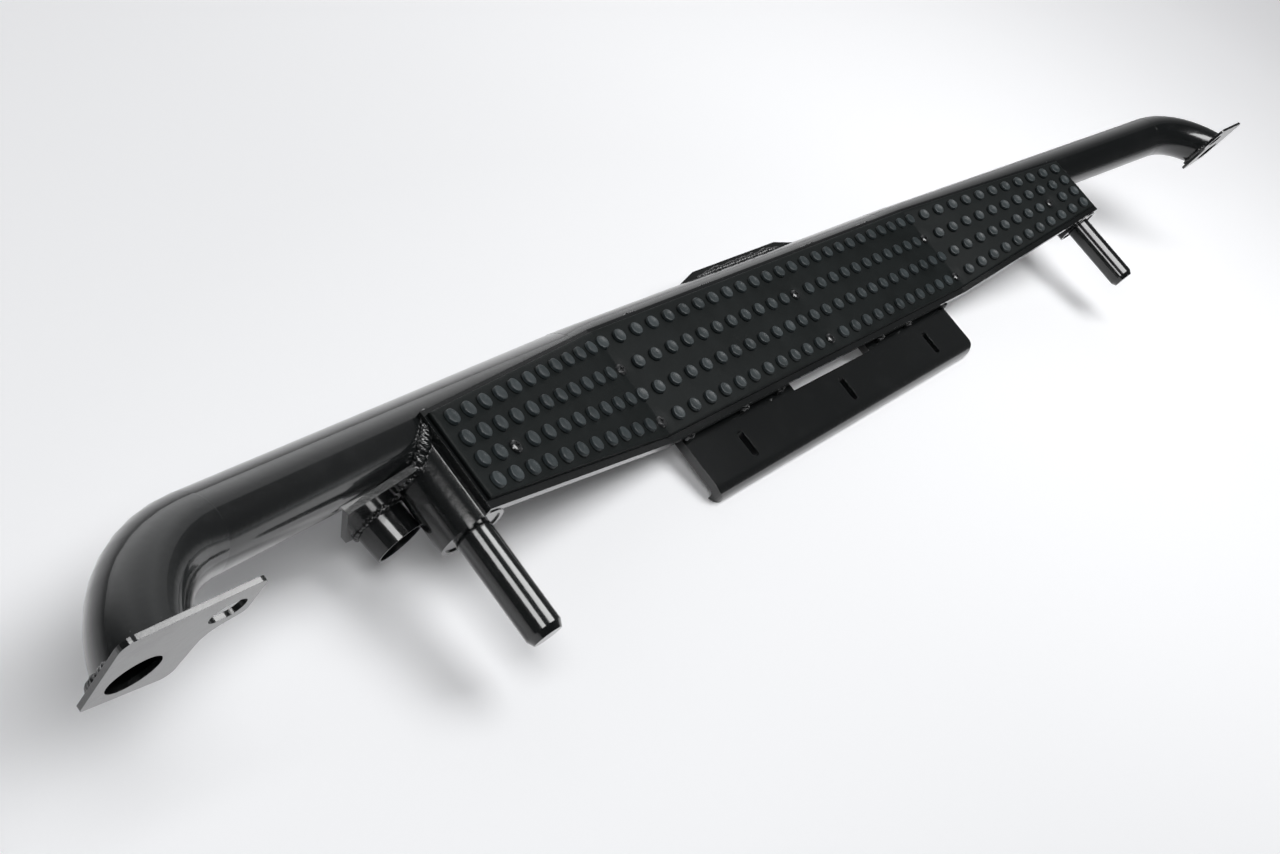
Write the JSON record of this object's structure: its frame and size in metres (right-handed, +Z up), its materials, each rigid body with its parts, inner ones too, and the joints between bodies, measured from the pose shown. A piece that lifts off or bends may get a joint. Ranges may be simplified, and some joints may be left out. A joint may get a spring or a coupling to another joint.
{
  "type": "hitch step",
  "caption": "Bent steel tube step with a studded rubber tread, two forward pins in sleeves, a slotted hitch bracket, end plates and a trailer socket holder.",
  "frame": {"origin": "on the main tube's axis, halfway along it", "axes": "+X along the step, -Y towards the vehicle, +Z up, square to the middle of the tread"},
  "size_m": [1.6512, 0.2211, 0.2173],
  "materials": {
    "black_paint": "gloss",
    "mat_rubber": "matte",
    "black_screw": "satin",
    "zinc": "satin",
    "painted_weld": "gloss"
  },
  "bodies": {
    "root": {"main_tube": "black_paint", "end_plate_left": "black_paint", "end_plate_right": "black_paint", "tread_tray": "black_paint", "sleeve_left": "black_paint", "sleeve_right": "black_paint", "collar_left": "black_paint", "collar_right": "black_paint", "pin_left": "black_paint", "pin_right": "black_paint", "hitch_bracket": "black_paint", "tow_plate": "black_paint", "socket_plate": "black_paint", "socket_tube": "black_paint", "tread_mat": "mat_rubber", "tread_screws": "black_screw", "tread_washers": "zinc", "tread_nuts": "zinc", "sleeve_weld_left": "painted_weld", "sleeve_weld_right": "painted_weld", "end_plate_weld_left": "painted_weld", "end_plate_weld_right": "painted_weld", "bracket_welds": "painted_weld", "tray_welds": "painted_weld", "tow_plate_weld": "painted_weld", "socket_welds": "painted_weld"}
  },
  "joints": []
}
